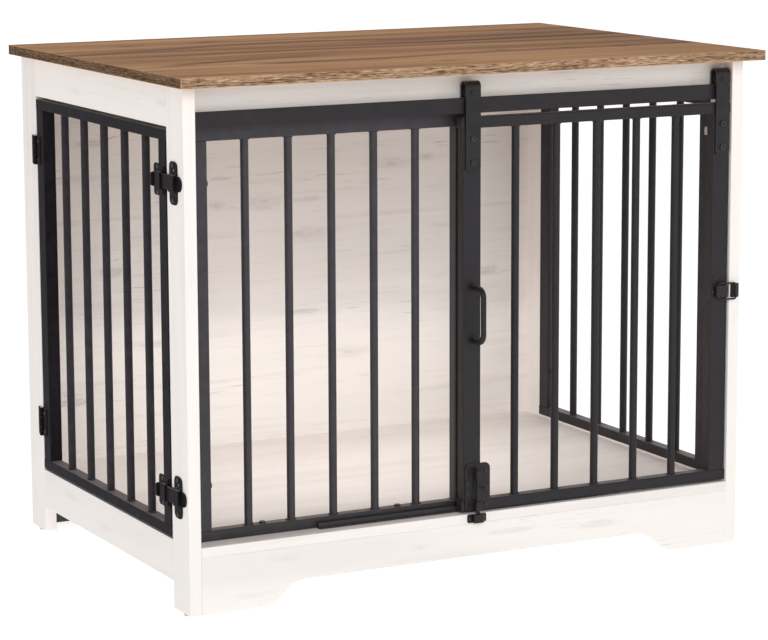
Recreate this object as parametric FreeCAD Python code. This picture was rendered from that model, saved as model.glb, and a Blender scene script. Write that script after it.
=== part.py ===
import FreeCAD, Part
import math
import os

# Dog crate end table: a brown slab on a white-washed wood carcass, metal
# grilles on three sides, a top-hung sliding door in front and a hinged door
# on the left. +X is right, +Y is back, +Z is up; the origin is on the floor
# below the middle of the slab. Millimetres.

V = FreeCAD.Vector

# ---------------------------------------------------------------- dimensions
SLAB_W, SLAB_D, SLAB_T = 975.0, 685.0, 15.0
OVER_FRONT = 35.5            # slab edge to the front plane of the legs
BODY_W, BODY_D = 940.0, 640.0
GLIDE_H = 4.0
LEG_H = 764.0
LEG_TX, LEG_DY = 19.0, 60.0  # legs are boards on edge: thin in X, deep in Y
RAIL_T = 19.0
PANEL_T = 15.0

BASE_Z0 = 88.5               # underside of the floor panel
TOP_RAIL_Z0 = 707.0          # underside of the side top rails
LOW_RAIL_Z0, LOW_RAIL_Z1 = 44.5, 106.0
BOARD_Z0 = 714.0             # underside of the front top board
BOARD_R = 23.0               # how far the board sits behind the leg fronts
APRON_FLAT_X = 361.5         # foot of the apron's curve
APRON_RISE_X = 280.5         # top of the apron's curve
APRON_RISE = 34.0

TUBE_W = 28.5                # stile width of the side frames
FRONT_TUBE_W = 30.0          # stile width of the front frames
FRONT_TUBE_D = 18.0          # depth of the front frames
SIDE_TUBE_D = 20.0           # depth of the side frames
WALL = 1.3
BAR_D, BAR_WALL = 12.0, 1.2

FIX_X0, FIX_X1 = -450.5, 10.2
FIX_R0 = 30.5
FIX_LOW_RAIL, FIX_TOP_RAIL = 16.0, 28.0

DOOR_X0, DOOR_X1 = -20.0, 449.5
DOOR_R0 = 4.0
DOOR_Z0, DOOR_Z1 = 106.5, 701.5
DOOR_RAIL = 16.5

TRACK_Z0, TRACK_Z1 = 707.2, 730.6
SPACER_Z = 718.8
TRACK_R0, TRACK_R1 = 7.0, 12.0
ROLLER_R, FLANGE_R, AXLE_Z = 6.8, 10.5, 737.7
STRAP_W, STRAP_T = 25.0, 3.0
STRAP_Z0, STRAP_Z1 = 622.0, 755.0

SIDE_GAP = 2.1               # side door to posts
SIDE_Z0, SIDE_Z1 = 108.5, 702.0
SIDE_RAIL = 16.0
BAR_PITCH_SIDE = 80.4

HINGE_Z = (622.0, 185.0)
HINGE_H = 45.0
HINGE_X, HINGE_Y = -473.4, 272.0
LATCH_Z = (629.0, 173.5)

# -------------------------------------------------------------- derived frame
YF = -SLAB_D / 2 + OVER_FRONT        # front plane of the legs
YB = YF + BODY_D                     # back plane of the legs
YC = (YF + YB) / 2
XL, XR = -BODY_W / 2, BODY_W / 2
XLI, XRI = XL + LEG_TX, XR - LEG_TX
ZL0 = GLIDE_H
ZL1 = GLIDE_H + LEG_H
BASE_Z1 = BASE_Z0 + PANEL_T
SY0, SY1 = YF + LEG_DY, YB - LEG_DY  # side openings between the legs

parts = {}
drills = []                          # (node names, tool)


def R(r):
    """Y of a plane r mm behind the leg fronts."""
    return YF + r


def box(x0, x1, y0, y1, z0, z1):
    return Part.makeBox(x1 - x0, y1 - y0, z1 - z0, V(x0, y0, z0))


def cyl(r, h, p, d):
    return Part.makeCylinder(r, h, V(*p), V(*d))


def add(node, *solids):
    parts.setdefault(node, []).extend(solids)


def prism(points, direction):
    """Closed polygon of 3-D points swept along a vector."""
    w = Part.makePolygon([V(*p) for p in points] + [V(*points[0])])
    return Part.Face(w).extrude(V(*direction))


def soften(shape, r, along=None, pick=None):
    """Round the straight edges that run along an axis."""
    es = []
    for e in shape.Edges:
        if not isinstance(e.Curve, Part.Line):
            continue
        d = e.tangentAt(e.FirstParameter)
        if along is not None and abs(d.dot(along)) < 0.999:
            continue
        if pick is not None and not pick(e.CenterOfMass):
            continue
        es.append(e)
    if not es:
        return shape
    return shape.makeFillet(r, es)


def rect_tube(x0, x1, y0, y1, z0, z1, axis):
    """Rectangular tube, open at both ends, with rounded long edges."""
    ax = {"x": V(1, 0, 0), "y": V(0, 1, 0), "z": V(0, 0, 1)}[axis]
    outer = soften(box(x0, x1, y0, y1, z0, z1), 1.8, ax)
    g = [WALL, WALL, WALL]
    g["xyz".index(axis)] = -1.0
    inner = box(x0 + g[0], x1 - g[0], y0 + g[1], y1 - g[1], z0 + g[2], z1 - g[2])
    return outer.cut(inner)


def round_bar(x, y, z0, z1):
    o = cyl(BAR_D / 2, z1 - z0, (x, y, z0), (0, 0, 1))
    i = cyl(BAR_D / 2 - BAR_WALL, z1 - z0 + 2, (x, y, z0 - 1), (0, 0, 1))
    return o.cut(i)


def screw(p, d, head_d=8.0, head_h=2.4, shank_d=4.0, shank=12.0, into=(), cross=True):
    """Pan-head screw: p is the seat of the head, d points away from the work."""
    d = V(*d)
    p = V(*p)
    head = Part.makeCylinder(head_d / 2, head_h, p, d)
    top = p + d * head_h
    rim = [e for e in head.Edges if isinstance(e.Curve, Part.Circle)
           and (e.CenterOfMass - top).Length < 0.01]
    head = head.makeFillet(head_h * 0.55, rim)
    if cross:
        u = d.cross(V(0, 0, 1))
        if u.Length < 0.5:
            u = V(1, 0, 0)
        u.normalize()
        w = d.cross(u)
        for a, b in ((u, w), (w, u)):
            la, lb = head_d * 0.28, head_d * 0.055
            q = top - d * (head_h * 0.55)
            pts = [q + a * la + b * lb, q - a * la + b * lb, q - a * la - b * lb, q + a * la - b * lb]
            face = Part.Face(Part.makePolygon(pts + [pts[0]]))
            head = head.cut(face.extrude(d * head_h))
    body = Part.makeCylinder(shank_d / 2, shank + 0.3, p + d * 0.3, d * -1.0)
    s = head.fuse(body).removeSplitter()
    if into:
        hole = Part.makeCylinder(shank_d / 2, shank + 0.8, p + d * 0.5, d * -1.0)
        drills.append((tuple(into), hole))
    return s


def one(shape):
    """The single solid inside a shape."""
    s = shape.Solids
    if len(s) != 1:
        raise RuntimeError("expected one solid, found %d" % len(s))
    return s[0]


# ------------------------------------------------------------------ wood body
slab = box(-SLAB_W / 2, SLAB_W / 2, -SLAB_D / 2, SLAB_D / 2, ZL1, ZL1 + SLAB_T)
slab = soften(slab, 2.0, V(0, 0, 1))
rim = [e for e in slab.Edges if abs(e.BoundBox.ZMin - e.BoundBox.ZMax) < 1e-6]
slab = slab.makeFillet(1.0, rim)
add("top_slab", slab)


def leg(x0, y0):
    s = box(x0, x0 + LEG_TX, y0, y0 + LEG_DY, ZL0, ZL1)
    return soften(s, 1.0, V(0, 0, 1))


add("leg_front_left", leg(XL, YF))
add("leg_front_right", leg(XRI, YF))
add("leg_back_left", leg(XL, YB - LEG_DY))
add("leg_back_right", leg(XRI, YB - LEG_DY))

for side, x0, x1 in (("left", XL, XLI), ("right", XRI, XR)):
    add(side + "_top_rail", box(x0, x1, SY0, SY1, TOP_RAIL_Z0, ZL1))
    add(side + "_bottom_rail", box(x0, x1, SY0, SY1, LOW_RAIL_Z0, LOW_RAIL_Z1))

add("front_top_board", box(XLI, XRI, R(BOARD_R), R(BOARD_R + PANEL_T), BOARD_Z0, ZL1))
add("base_floor_panel", soften(box(XLI, XRI, YF, YB, BASE_Z0, BASE_Z1), 0.9, V(1, 0, 0),
                               lambda c: c.y < YF + 1))
add("back_panel", box(XLI, XRI, YB - PANEL_T, YB, BASE_Z1, ZL1))
add("back_skirt", box(XLI, XRI, YB - PANEL_T, YB, ZL0, BASE_Z0))
add("floor_support_rail", box(XLI, XRI, YC - 9.5, YC + 9.5, 38.5, BASE_Z0))


# front apron: flat feet beside the legs, an S-curve up to a straight middle
def apron():
    y = YF
    zt, zb, zr = BASE_Z0, ZL0, ZL0 + APRON_RISE

    def s_curve(xa, xb, za, zb_):
        mid = (xa + xb) / 2
        b = Part.BezierCurve()
        b.setPoles([V(xa, y, za), V(xa + (mid - xa) * 1.15, y, za),
                    V(xb - (xb - mid) * 1.15, y, zb_), V(xb, y, zb_)])
        return b.toShape()

    e = [Part.makeLine(V(XLI, y, zt), V(XLI, y, zb)),
         Part.makeLine(V(XLI, y, zb), V(-APRON_FLAT_X, y, zb)),
         s_curve(-APRON_FLAT_X, -APRON_RISE_X, zb, zr),
         Part.makeLine(V(-APRON_RISE_X, y, zr), V(APRON_RISE_X, y, zr)),
         s_curve(APRON_RISE_X, APRON_FLAT_X, zr, zb),
         Part.makeLine(V(APRON_FLAT_X, y, zb), V(XRI, y, zb)),
         Part.makeLine(V(XRI, y, zb), V(XRI, y, zt)),
         Part.makeLine(V(XRI, y, zt), V(XLI, y, zt))]
    s = Part.Face(Part.Wire(e)).extrude(V(0, PANEL_T, 0))
    return soften(s, 0.9, V(1, 0, 0), lambda c: c.y < YF + 0.5 and c.z > zt - 0.5)


add("front_apron", apron())

# glides: a round foot with a short nail up into each leg
for gx, gy, lg in ((XL + LEG_TX / 2, YF + 24, "leg_front_left"), (XR - LEG_TX / 2, YF + 24, "leg_front_right"),
                   (XL + LEG_TX / 2, YB - 30, "leg_back_left"), (XR - LEG_TX / 2, YB - 30, "leg_back_right")):
    foot = cyl(8.5, GLIDE_H, (gx, gy, 0), (0, 0, 1))
    low = [e for e in foot.Edges if isinstance(e.Curve, Part.Circle) and e.CenterOfMass.z < 0.01]
    foot = foot.makeFillet(1.2, low)
    add("leg_glides", one(foot.fuse(cyl(2.0, 14.0, (gx, gy, GLIDE_H - 1), (0, 0, 1)))))
    drills.append(((lg,), cyl(2.0, 14.0, (gx, gy, GLIDE_H - 1), (0, 0, 1))))

# wooden dowels between the side rails and the legs
for side, xc in (("left", XL + LEG_TX / 2), ("right", XR - LEG_TX / 2)):
    for rail, zs in (("top", (722.0, 753.0)), ("bottom", (60.0, 90.0))):
        for end, yc in (("front", SY0), ("back", SY1)):
            for z in zs:
                dw = cyl(4.0, 30.0, (xc, yc - 15.0, z), (0, 1, 0))
                add("rail_dowels", dw)
                drills.append((("%s_%s_rail" % (side, rail), "leg_%s_%s" % (end, side)), dw))


# steel angle brackets that hold the slab from below
def bracket(px, py, nx, ny, wall_node):
    """Angle at the corner of slab and wall; (nx, ny) points away from the wall."""
    L, T, W = 22.0, 2.0, 18.0
    tx, ty = -ny, nx
    z = ZL1

    def blk(a0, a1, b0, b1, z0, z1):
        xs = sorted((px + nx * a0 + tx * b0, px + nx * a1 + tx * b1))
        ys = sorted((py + ny * a0 + ty * b0, py + ny * a1 + ty * b1))
        return box(xs[0], xs[1], ys[0], ys[1], z0, z1)

    a = blk(0, T, -W / 2, W / 2, z - L, z)
    b = blk(0, L, -W / 2, W / 2, z - T, z)
    add("slab_brackets", one(a.fuse(b).removeSplitter()))
    add("slab_bracket_screws",
        screw((px + nx * 14, py + ny * 14, z - T), (0, 0, -1), 7.0, 2.2, 3.5, 12.0,
              ("slab_brackets", "top_slab")),
        screw((px + nx * T, py + ny * T, z - 14), (nx, ny, 0), 7.0, 2.2, 3.5, 12.0,
              ("slab_brackets", wall_node)))


for bx in (-250.0, 250.0):
    bracket(bx, YB - PANEL_T, 0, -1, "back_panel")
    bracket(bx, R(BOARD_R + PANEL_T), 0, 1, "front_top_board")
bracket(XLI, YC, 1, 0, "left_top_rail")
bracket(XRI, YC, -1, 0, "right_top_rail")


# --------------------------------------------------------------- metal frames
def front_frame(node, bars, x0, x1, r0, z0, z1, low, top):
    y0, y1 = R(r0), R(r0 + FRONT_TUBE_D)
    add(node,
        rect_tube(x0, x1, y0, y1, z0, z0 + low, "x"),
        rect_tube(x0, x1, y0, y1, z1 - top, z1, "x"),
        rect_tube(x0, x0 + FRONT_TUBE_W, y0, y1, z0 + low, z1 - top, "z"),
        rect_tube(x1 - FRONT_TUBE_W, x1, y0, y1, z0 + low, z1 - top, "z"))
    a, b = x0 + FRONT_TUBE_W, x1 - FRONT_TUBE_W
    c, pitch = (a + b) / 2, (b - a) / 5.8
    for i in range(-2, 3):
        add(bars, round_bar(c + i * pitch, (y0 + y1) / 2, z0 + low, z1 - top))


def side_frame(node, bars, x0, x1, y0, y1, z0, z1):
    add(node,
        rect_tube(x0, x1, y0, y1, z0, z0 + SIDE_RAIL, "y"),
        rect_tube(x0, x1, y0, y1, z1 - SIDE_RAIL, z1, "y"),
        rect_tube(x0, x1, y0, y0 + TUBE_W, z0 + SIDE_RAIL, z1 - SIDE_RAIL, "z"),
        rect_tube(x0, x1, y1 - TUBE_W, y1, z0 + SIDE_RAIL, z1 - SIDE_RAIL, "z"))
    for i in range(-2, 3):
        add(bars, round_bar((x0 + x1) / 2, YC + i * BAR_PITCH_SIDE, z0 + SIDE_RAIL, z1 - SIDE_RAIL))


def end_cap(node, tip, out, flange, wx, wy, wz, plug=9.0):
    """Push-in cap: tip is the middle of the tube's end, out its direction."""
    o = V(*out)
    c = V(*tip)
    half = [wx / 2, wy / 2, wz / 2]
    i = [abs(q) > 0.5 for q in out].index(True)

    def blk(shrink, a, b):
        lo, hi = [c.x, c.y, c.z], [c.x, c.y, c.z]
        for k in range(3):
            if k == i:
                lo[k] += min(a * out[i], b * out[i])
                hi[k] += max(a * out[i], b * out[i])
            else:
                lo[k] -= half[k] - shrink
                hi[k] += half[k] - shrink
        return box(lo[0], hi[0], lo[1], hi[1], lo[2], hi[2])

    cap = soften(blk(0.15, 0.0, flange), 1.8, o)
    cap = soften(cap, 0.4, None, lambda q: (q - c).dot(o) > flange - 0.01)
    add(node, one(cap.fuse(blk(WALL + 0.15, -plug, 0.0)).removeSplitter()))


# fixed front panel, left half
front_frame("fixed_panel_frame", "fixed_panel_bars", FIX_X0, FIX_X1, FIX_R0, BASE_Z1, BOARD_Z0,
            FIX_LOW_RAIL, FIX_TOP_RAIL)
yfix = R(FIX_R0 + FRONT_TUBE_D / 2)
for z in (625.0, 185.0):
    add("panel_screws", screw((FIX_X0 + FRONT_TUBE_W, yfix, z), (1, 0, 0), 11.0, 3.0, 4.5, 44.0,
                              ("fixed_panel_frame", "leg_front_left")))
for x in (-336.0, -113.0):
    add("panel_screws", screw((x, yfix, BASE_Z1 + FIX_LOW_RAIL), (0, 0, 1), 10.0, 3.0, 4.5, 28.0,
                              ("fixed_panel_frame", "base_floor_panel")))
for zm, hz in ((BASE_Z1 + FIX_LOW_RAIL / 2, FIX_LOW_RAIL), (BOARD_Z0 - FIX_TOP_RAIL / 2, FIX_TOP_RAIL)):
    end_cap("fixed_panel_caps", (FIX_X1, yfix, zm), (1, 0, 0), 1.0, 0, FRONT_TUBE_D, hz)

# sliding door, right half
front_frame("sliding_door_frame", "sliding_door_bars", DOOR_X0, DOOR_X1, DOOR_R0, DOOR_Z0, DOOR_Z1,
            DOOR_RAIL, DOOR_RAIL)
ST_L, ST_R = -4.75, 434.7            # centre lines of the hanger straps
ydoor = R(DOOR_R0 + FRONT_TUBE_D / 2)
for zm in (DOOR_Z0 + DOOR_RAIL / 2, DOOR_Z1 - DOOR_RAIL / 2):
    end_cap("sliding_door_caps", (DOOR_X0, ydoor, zm), (-1, 0, 0), 2.0, 0, FRONT_TUBE_D, DOOR_RAIL)
    end_cap("sliding_door_caps", (DOOR_X1, ydoor, zm), (1, 0, 0), 1.0, 0, FRONT_TUBE_D, DOOR_RAIL)

# right side grille, fixed in the opening
side_frame("right_grille_frame", "right_grille_bars", XR - SIDE_TUBE_D, XR, SY0 + 0.2, SY1 - 0.2,
           LOW_RAIL_Z1, TOP_RAIL_Z0 - 0.2)
xg = XR - SIDE_TUBE_D / 2
for z in (625.0, 185.0):
    add("panel_screws",
        screw((xg, SY0 + 0.2 + TUBE_W, z), (0, 1, 0), 11.0, 3.0, 4.5, 44.0,
              ("right_grille_frame", "leg_front_right")),
        screw((xg, SY1 - 0.2 - TUBE_W, z), (0, -1, 0), 11.0, 3.0, 4.5, 44.0,
              ("right_grille_frame", "leg_back_right")))
clip = box(XR - SIDE_TUBE_D - 3.0, XR - SIDE_TUBE_D, SY0 + 1.4, SY0 + 9.8, 645.5, 658.0)
clip = soften(clip, 2.0, V(1, 0, 0))
add("right_grille_clip", clip)

# left side door
side_frame("side_door_frame", "side_door_bars", XL, XL + SIDE_TUBE_D, SY0 + SIDE_GAP, SY1 - SIDE_GAP,
           SIDE_Z0, SIDE_Z1)
for zm in (SIDE_Z0 + SIDE_RAIL / 2, SIDE_Z1 - SIDE_RAIL / 2):
    end_cap("side_door_caps", (XL + SIDE_TUBE_D / 2, SY0 + SIDE_GAP, zm), (0, -1, 0), 1.2,
            SIDE_TUBE_D, 0, SIDE_RAIL)
    end_cap("side_door_caps", (XL + SIDE_TUBE_D / 2, SY1 - SIDE_GAP, zm), (0, 1, 0), 1.2,
            SIDE_TUBE_D, 0, SIDE_RAIL)

# ------------------------------------------------------------ track, hangers
track = box(-450.5, 450.5, R(TRACK_R0), R(TRACK_R1), TRACK_Z0, TRACK_Z1)
track = soften(track, 0.8, V(1, 0, 0))
add("track_bar", track)
for x in (-430.0, -143.0, 143.0, 430.0):
    sp = cyl(5.0, BOARD_R - TRACK_R1, (x, R(TRACK_R1), SPACER_Z), (0, 1, 0))
    sp = sp.cut(cyl(2.6, 30.0, (x, R(TRACK_R1) - 5, SPACER_Z), (0, 1, 0)))
    add("track_spacers", sp)
    # the board is drilled a little wide, so the screw clamps it
    drills.append((("front_top_board",), cyl(2.6, 30.0, (x, R(BOARD_R) - 5, SPACER_Z), (0, 1, 0))))
    add("track_screws", screw((x, R(BOARD_R + PANEL_T), SPACER_Z), (0, 1, 0), 9.0, 3.0, 5.0,
                              BOARD_R + PANEL_T - 9.0, ("track_bar",)))

for side, xc in (("left", ST_L), ("right", ST_R)):
    x0 = xc - STRAP_W / 2
    rc, ro, ri = 9.5, 8.5, 5.5
    zc = STRAP_Z1 - ro
    back_end = 725.2

    def P(r, z, x=x0):
        return V(x, R(r), z)

    edges = [Part.makeLine(P(rc - ro, STRAP_Z0), P(rc - ro, zc)),
             Part.Arc(P(rc - ro, zc), P(rc, zc + ro), P(rc + ro, zc)).toShape(),
             Part.makeLine(P(rc + ro, zc), P(rc + ro, back_end)),
             Part.makeLine(P(rc + ro, back_end), P(rc + ri, back_end)),
             Part.makeLine(P(rc + ri, back_end), P(rc + ri, zc)),
             Part.Arc(P(rc + ri, zc), P(rc, zc + ri), P(rc - ri, zc)).toShape(),
             Part.makeLine(P(rc - ri, zc), P(rc - ri, STRAP_Z0)),
             Part.makeLine(P(rc - ri, STRAP_Z0), P(rc - ro, STRAP_Z0))]
    strap = Part.Face(Part.Wire(edges)).extrude(V(STRAP_W, 0, 0))
    strap = soften(strap, 6.0, V(0, 1, 0), lambda c: c.z < STRAP_Z0 + 1)
    strap = soften(strap, 4.0, V(0, 1, 0), lambda c: abs(c.z - back_end) < 1)
    strap = strap.cut(cyl(2.5, 40.0, (xc, R(-10), AXLE_Z), (0, 1, 0)))
    for z in (670.0, 634.0):
        strap = strap.cut(cyl(2.5, 12.0, (xc, R(-4), z), (0, 1, 0)))
        add("strap_bolts", screw((xc, R(1.0), z), (0, -1, 0), 9.5, 2.6, 5.0, 12.0,
                                 ("sliding_door_frame",)))
    add("hanger_straps", one(strap))

    # axle bolt: domed head in front, nut behind
    head = cyl(3.6, 1.7, (xc, R(-0.7), AXLE_Z), (0, 1, 0))
    head = head.makeFillet(1.1, [e for e in head.Edges if isinstance(e.Curve, Part.Circle)
                                 and e.CenterOfMass.y < R(-0.6)])
    pin = cyl(2.5, 19.6, (xc, R(0.8), AXLE_Z), (0, 1, 0))
    hexa = [(xc + 4.6 * math.cos(math.radians(60 * k)), R(18.0), AXLE_Z + 4.6 * math.sin(math.radians(60 * k)))
            for k in range(6)]
    nut = prism(hexa, (0, 2.6, 0))
    add("roller_axles", one(head.fuse([pin, nut]).removeSplitter()))

    # grooved roller, turned about the axle
    w0, w1 = 5.2, 13.8
    pr = [(w0, 2.55), (w0, FLANGE_R - 0.6), (w0 + 0.5, FLANGE_R), (w0 + 1.0, FLANGE_R),
          (w0 + 1.4, FLANGE_R - 0.5), (w0 + 1.5, ROLLER_R), (w1 - 1.5, ROLLER_R),
          (w1 - 1.4, FLANGE_R - 0.5), (w1 - 1.0, FLANGE_R), (w1 - 0.5, FLANGE_R),
          (w1, FLANGE_R - 0.6), (w1, 2.55)]
    poly = Part.makePolygon([V(xc, R(a), AXLE_Z + b) for a, b in pr] + [V(xc, R(pr[0][0]), AXLE_Z + pr[0][1])])
    wheel = Part.Face(poly).revolve(V(xc, 0, AXLE_Z), V(0, 1, 0), 360)
    add("hanger_roller_" + side, one(wheel))

# ------------------------------------------------------------- bottom guide
GUIDE_X0, GUIDE_X1 = -252.0, 244.0
gd = box(GUIDE_X0, GUIDE_X1, R(20.0), R(29.2), BASE_Z1, BASE_Z1 + 2.4)
gd = gd.fuse(box(GUIDE_X0, GUIDE_X1, R(23.4), R(24.8), BASE_Z1, BASE_Z1 + 9.0)).removeSplitter()
gd = soften(gd, 3.0, V(0, 0, 1), lambda c: c.y < R(21))
add("bottom_guide", one(gd))


# -------------------------------------------------------------- bow handle
def swept_round(points, radius, bend):
    """Round bar along a polyline whose corners are rounded."""
    pts = [V(*p) for p in points]
    edges, last = [], pts[0]
    for i in range(1, len(pts) - 1):
        a = (pts[i - 1] - pts[i])
        b = (pts[i + 1] - pts[i])
        a.normalize()
        b.normalize()
        half = a.getAngle(b) / 2
        t = bend / math.tan(half)
        s, e = pts[i] + a * t, pts[i] + b * t
        bis = a + b
        bis.normalize()
        m = pts[i] + bis * (bend / math.sin(half) - bend)
        edges.append(Part.makeLine(last, s))
        edges.append(Part.Arc(s, m, e).toShape())
        last = e
    edges.append(Part.makeLine(last, pts[-1]))
    path = Part.Wire(edges)
    d = pts[1] - pts[0]
    prof = Part.Wire([Part.makeCircle(radius, pts[0], d)])
    return path.makePipeShell([prof], True, False)


HX, HZ0, HZ1, HR = -3.0, 368.0, 448.0, -27.5
bow = swept_round([(HX, R(4), HZ0), (HX, R(HR), HZ0), (HX, R(HR), HZ1), (HX, R(4), HZ1)], 4.2, 13.0)
for z in (HZ0, HZ1):
    bow = bow.fuse(cyl(6.5, 2.2, (HX, R(1.8), z), (0, 1, 0)))
    bow = bow.cut(cyl(2.0, 14.0, (HX, R(-8.0), z), (0, 1, 0)))
    sc = cyl(3.6, 1.6, (HX, R(20.4), z), (0, 1, 0)).fuse(cyl(2.0, 29.0, (HX, R(-7.5), z), (0, 1, 0)))
    add("handle_screws", one(sc.removeSplitter()))
    drills.append((("sliding_door_frame",), cyl(2.0, 25.0, (HX, R(0), z), (0, 1, 0))))
    drills.append((("sliding_door_frame",), cyl(3.6, 2.0, (HX, R(20.4), z), (0, 1, 0))))
add("door_handle", one(bow.removeSplitter()))

# --------------------------------------------------------------- foot bolt
FBX, FBR = 1.0, -5.0
plate = box(-17.0, 25.5, R(2.5), R(4.0), 108.0, 180.0)
plate = soften(plate, 9.0, V(0, 1, 0), lambda c: c.z > 170)
plate = soften(plate, 3.0, V(0, 1, 0), lambda c: c.z < 110)


def rod_guide(z0, z1):
    i, o, f = 3.4, 5.0, 12.0
    pts = [(-f, 2.6), (-f, 1.0), (-o, 1.0), (-o, -10.0), (o, -10.0), (o, 1.0), (f, 1.0), (f, 2.6),
           (i, 2.6), (i, -8.4), (-i, -8.4), (-i, 2.6)]
    g = prism([(FBX + a, R(b), z0) for a, b in pts], (0, 0, z1 - z0))
    return soften(g, 2.4, V(0, 0, 1), lambda c: c.y < R(-9.5))


plate = one(plate.fuse([rod_guide(110.0, 122.0), rod_guide(158.0, 170.0)]).removeSplitter())
add("foot_bolt_plate", plate)
for x, z in ((17.5, 168.0), (17.5, 116.0), (-14.0, 134.0), (-14.0, 150.0)):
    if x > 10.0 and z > 150:
        into, ln = ("foot_bolt_plate",), 5.0
    else:
        into, ln = ("foot_bolt_plate", "sliding_door_frame"), 8.0
    add("door_hardware_screws", screw((x, R(2.5), z), (0, -1, 0), 5.4, 1.5, 2.8, ln, into))

rod = cyl(3.0, 70.2, (FBX, R(FBR), 103.8), (0, 0, 1))
rod = rod.makeChamfer(0.8, [e for e in rod.Edges if isinstance(e.Curve, Part.Circle)])
kn = V(math.cos(math.radians(52)), -math.sin(math.radians(52)), 0)
knob = Part.makeCylinder(2.4, 11.0, V(FBX, R(FBR), 145.0), kn)
ball = Part.makeSphere(3.6, V(FBX, R(FBR), 145.0) + kn * 11.5)
add("foot_bolt_rod", one(rod.fuse([knob, ball]).removeSplitter()))

kp = box(-15.0, 17.0, R(-1.5), R(0), 89.8, 103.0)
kp = soften(kp, 2.5, V(0, 1, 0))
blk = box(FBX - 8.0, FBX + 8.0, R(-11.0), R(-1.4), 90.6, 103.0)
blk = soften(blk, 3.0, V(0, 0, 1), lambda c: c.y < R(-10))
kp = kp.fuse(blk).cut(cyl(3.5, 20.0, (FBX, R(FBR), 88.0), (0, 0, 1))).removeSplitter()
add("foot_bolt_keeper", one(kp))
for x in (-11.0, 13.4):
    add("keeper_screws", screw((x, R(-1.5), 96.4), (0, -1, 0), 5.4, 1.5, 2.8, 12.0,
                               ("foot_bolt_keeper", "base_floor_panel")))

# ------------------------------------------------------------- front latch
LZ, LX, LR = 408.0, 431.0, -0.8       # height, pivot line
LOOP_LEN, LOOP_H, WIRE = 29.0, 25.0, 1.5
LOOP_REST = 10.7                      # degrees the loop is lifted at rest
lp = box(411.0, 446.5, R(2.5), R(4.0), LZ - 10, LZ + 10)
lp = soften(lp, 3.0, V(0, 1, 0))
# pressed cover over the pivot, open towards the leg
hood = box(425.5, 446.5, R(-4.0), R(2.6), LZ - 8.8, LZ + 8.8)
hood = soften(hood, 2.0, V(0, 0, 1), lambda c: c.y < R(-3) and c.x < 430)
hood = hood.cut(box(LX + 3.4, 450.0, R(-2.8), R(2.5), LZ - 7.6, LZ + 7.6))
lp = lp.fuse(hood).cut(cyl(WIRE + 0.05, 30.0, (LX, R(LR), LZ - 15), (0, 0, 1))).removeSplitter()
add("front_latch_plate", one(lp))
add("door_hardware_screws", screw((422.0, R(2.5), LZ), (0, -1, 0), 5.0, 1.4, 2.8, 8.0,
                                  ("front_latch_plate", "sliding_door_frame")))
add("door_hardware_screws", screw((426.5, R(4.0), 430.0), (0, -1, 0), 5.4, 1.8, 2.8, 8.0,
                                  ("sliding_door_frame",)))


def loop():
    b = 4.0
    x0, x1, z0, z1 = LX, LX + LOOP_LEN, LZ - LOOP_H / 2, LZ + LOOP_H / 2
    y = R(LR)
    k = b * (1 - math.sqrt(0.5))
    e = [Part.makeLine(V(x0, y, z0 + b), V(x0, y, z1 - b)),
         Part.Arc(V(x0, y, z1 - b), V(x0 + k, y, z1 - k), V(x0 + b, y, z1)).toShape(),
         Part.makeLine(V(x0 + b, y, z1), V(x1 - b, y, z1)),
         Part.Arc(V(x1 - b, y, z1), V(x1 - k, y, z1 - k), V(x1, y, z1 - b)).toShape(),
         Part.makeLine(V(x1, y, z1 - b), V(x1, y, z0 + b)),
         Part.Arc(V(x1, y, z0 + b), V(x1 - k, y, z0 + k), V(x1 - b, y, z0)).toShape(),
         Part.makeLine(V(x1 - b, y, z0), V(x0 + b, y, z0)),
         Part.Arc(V(x0 + b, y, z0), V(x0 + k, y, z0 + k), V(x0, y, z0 + b)).toShape()]
    prof = Part.Wire([Part.makeCircle(WIRE, V(x0, y, z0 + b), V(0, 0, 1))])
    s = Part.Wire(e).makePipeShell([prof], True, False)
    # flat bright grip sleeve on the free end of the loop
    sleeve = cyl(2.4, LOOP_H - 10.0, (x1, y, LZ - LOOP_H / 2 + 5.0), (0, 0, 1))
    s = one(s.fuse(sleeve).removeSplitter())
    s.rotate(V(LX, R(LR), 0), V(0, 0, 1), -LOOP_REST)
    return s


add("front_latch_loop", loop())

lk = box(453.0, 468.0, R(-1.2), R(0), LZ - 11, LZ + 11)
lk = soften(lk, 2.0, V(0, 1, 0))
lip = box(453.0, 456.2, R(-3.4), R(-1.1), LZ - 7, LZ + 7)
lip = soften(lip, 1.0, V(0, 0, 1), lambda c: c.y < R(-3))
add("front_latch_keeper", one(lk.fuse(lip).removeSplitter()))
for z in (LZ - 6.5, LZ + 6.5):
    add("keeper_screws", screw((464.6, R(-1.2), z), (0, -1, 0), 4.6, 1.2, 2.6, 12.0,
                               ("front_latch_keeper", "leg_front_right")))

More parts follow.
